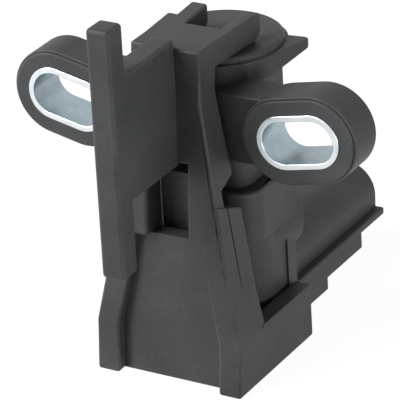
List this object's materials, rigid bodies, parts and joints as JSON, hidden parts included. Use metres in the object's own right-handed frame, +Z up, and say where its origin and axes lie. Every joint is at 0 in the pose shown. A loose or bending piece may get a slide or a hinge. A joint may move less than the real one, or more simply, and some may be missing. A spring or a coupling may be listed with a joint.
{
  "type": "crankshaft position sensor",
  "caption": "Bolt-on crankshaft position sensor with slotted steel-sleeved ears, a round sensing tip, a rear connector socket and a clip-on plastic alignment jig.",
  "frame": {"origin": "Midway between the two slots, on the plane of the sleeves' rear faces that bear on the engine.", "axes": "X runs from the left ear to the right ear, Y along the bolts to the rear, where the connector opens, and Z up to the sensing tip."},
  "size_m": [0.058, 0.0688, 0.0631],
  "materials": {
    "jig_plastic": "moulded, slightly satin",
    "housing_plastic": "moulded, slightly satin",
    "sleeve_steel": "zinc plated",
    "core_iron": "bare",
    "magnet_black": "ground",
    "bobbin_plastic": "natural",
    "copper_wire": "enamelled",
    "tinned_strip": "tinned",
    "potting_black": "cast"
  },
  "bodies": {
    "root": {"alignment_jig": "jig_plastic", "sensor_housing": "housing_plastic", "left_sleeve": "sleeve_steel", "right_sleeve": "sleeve_steel", "pole_piece": "core_iron", "magnet": "magnet_black", "coil_bobbin": "bobbin_plastic", "coil_winding": "copper_wire", "left_lead": "tinned_strip", "right_lead": "tinned_strip", "left_terminal": "tinned_strip", "right_terminal": "tinned_strip", "foot_lid": "potting_black"}
  },
  "joints": []
}
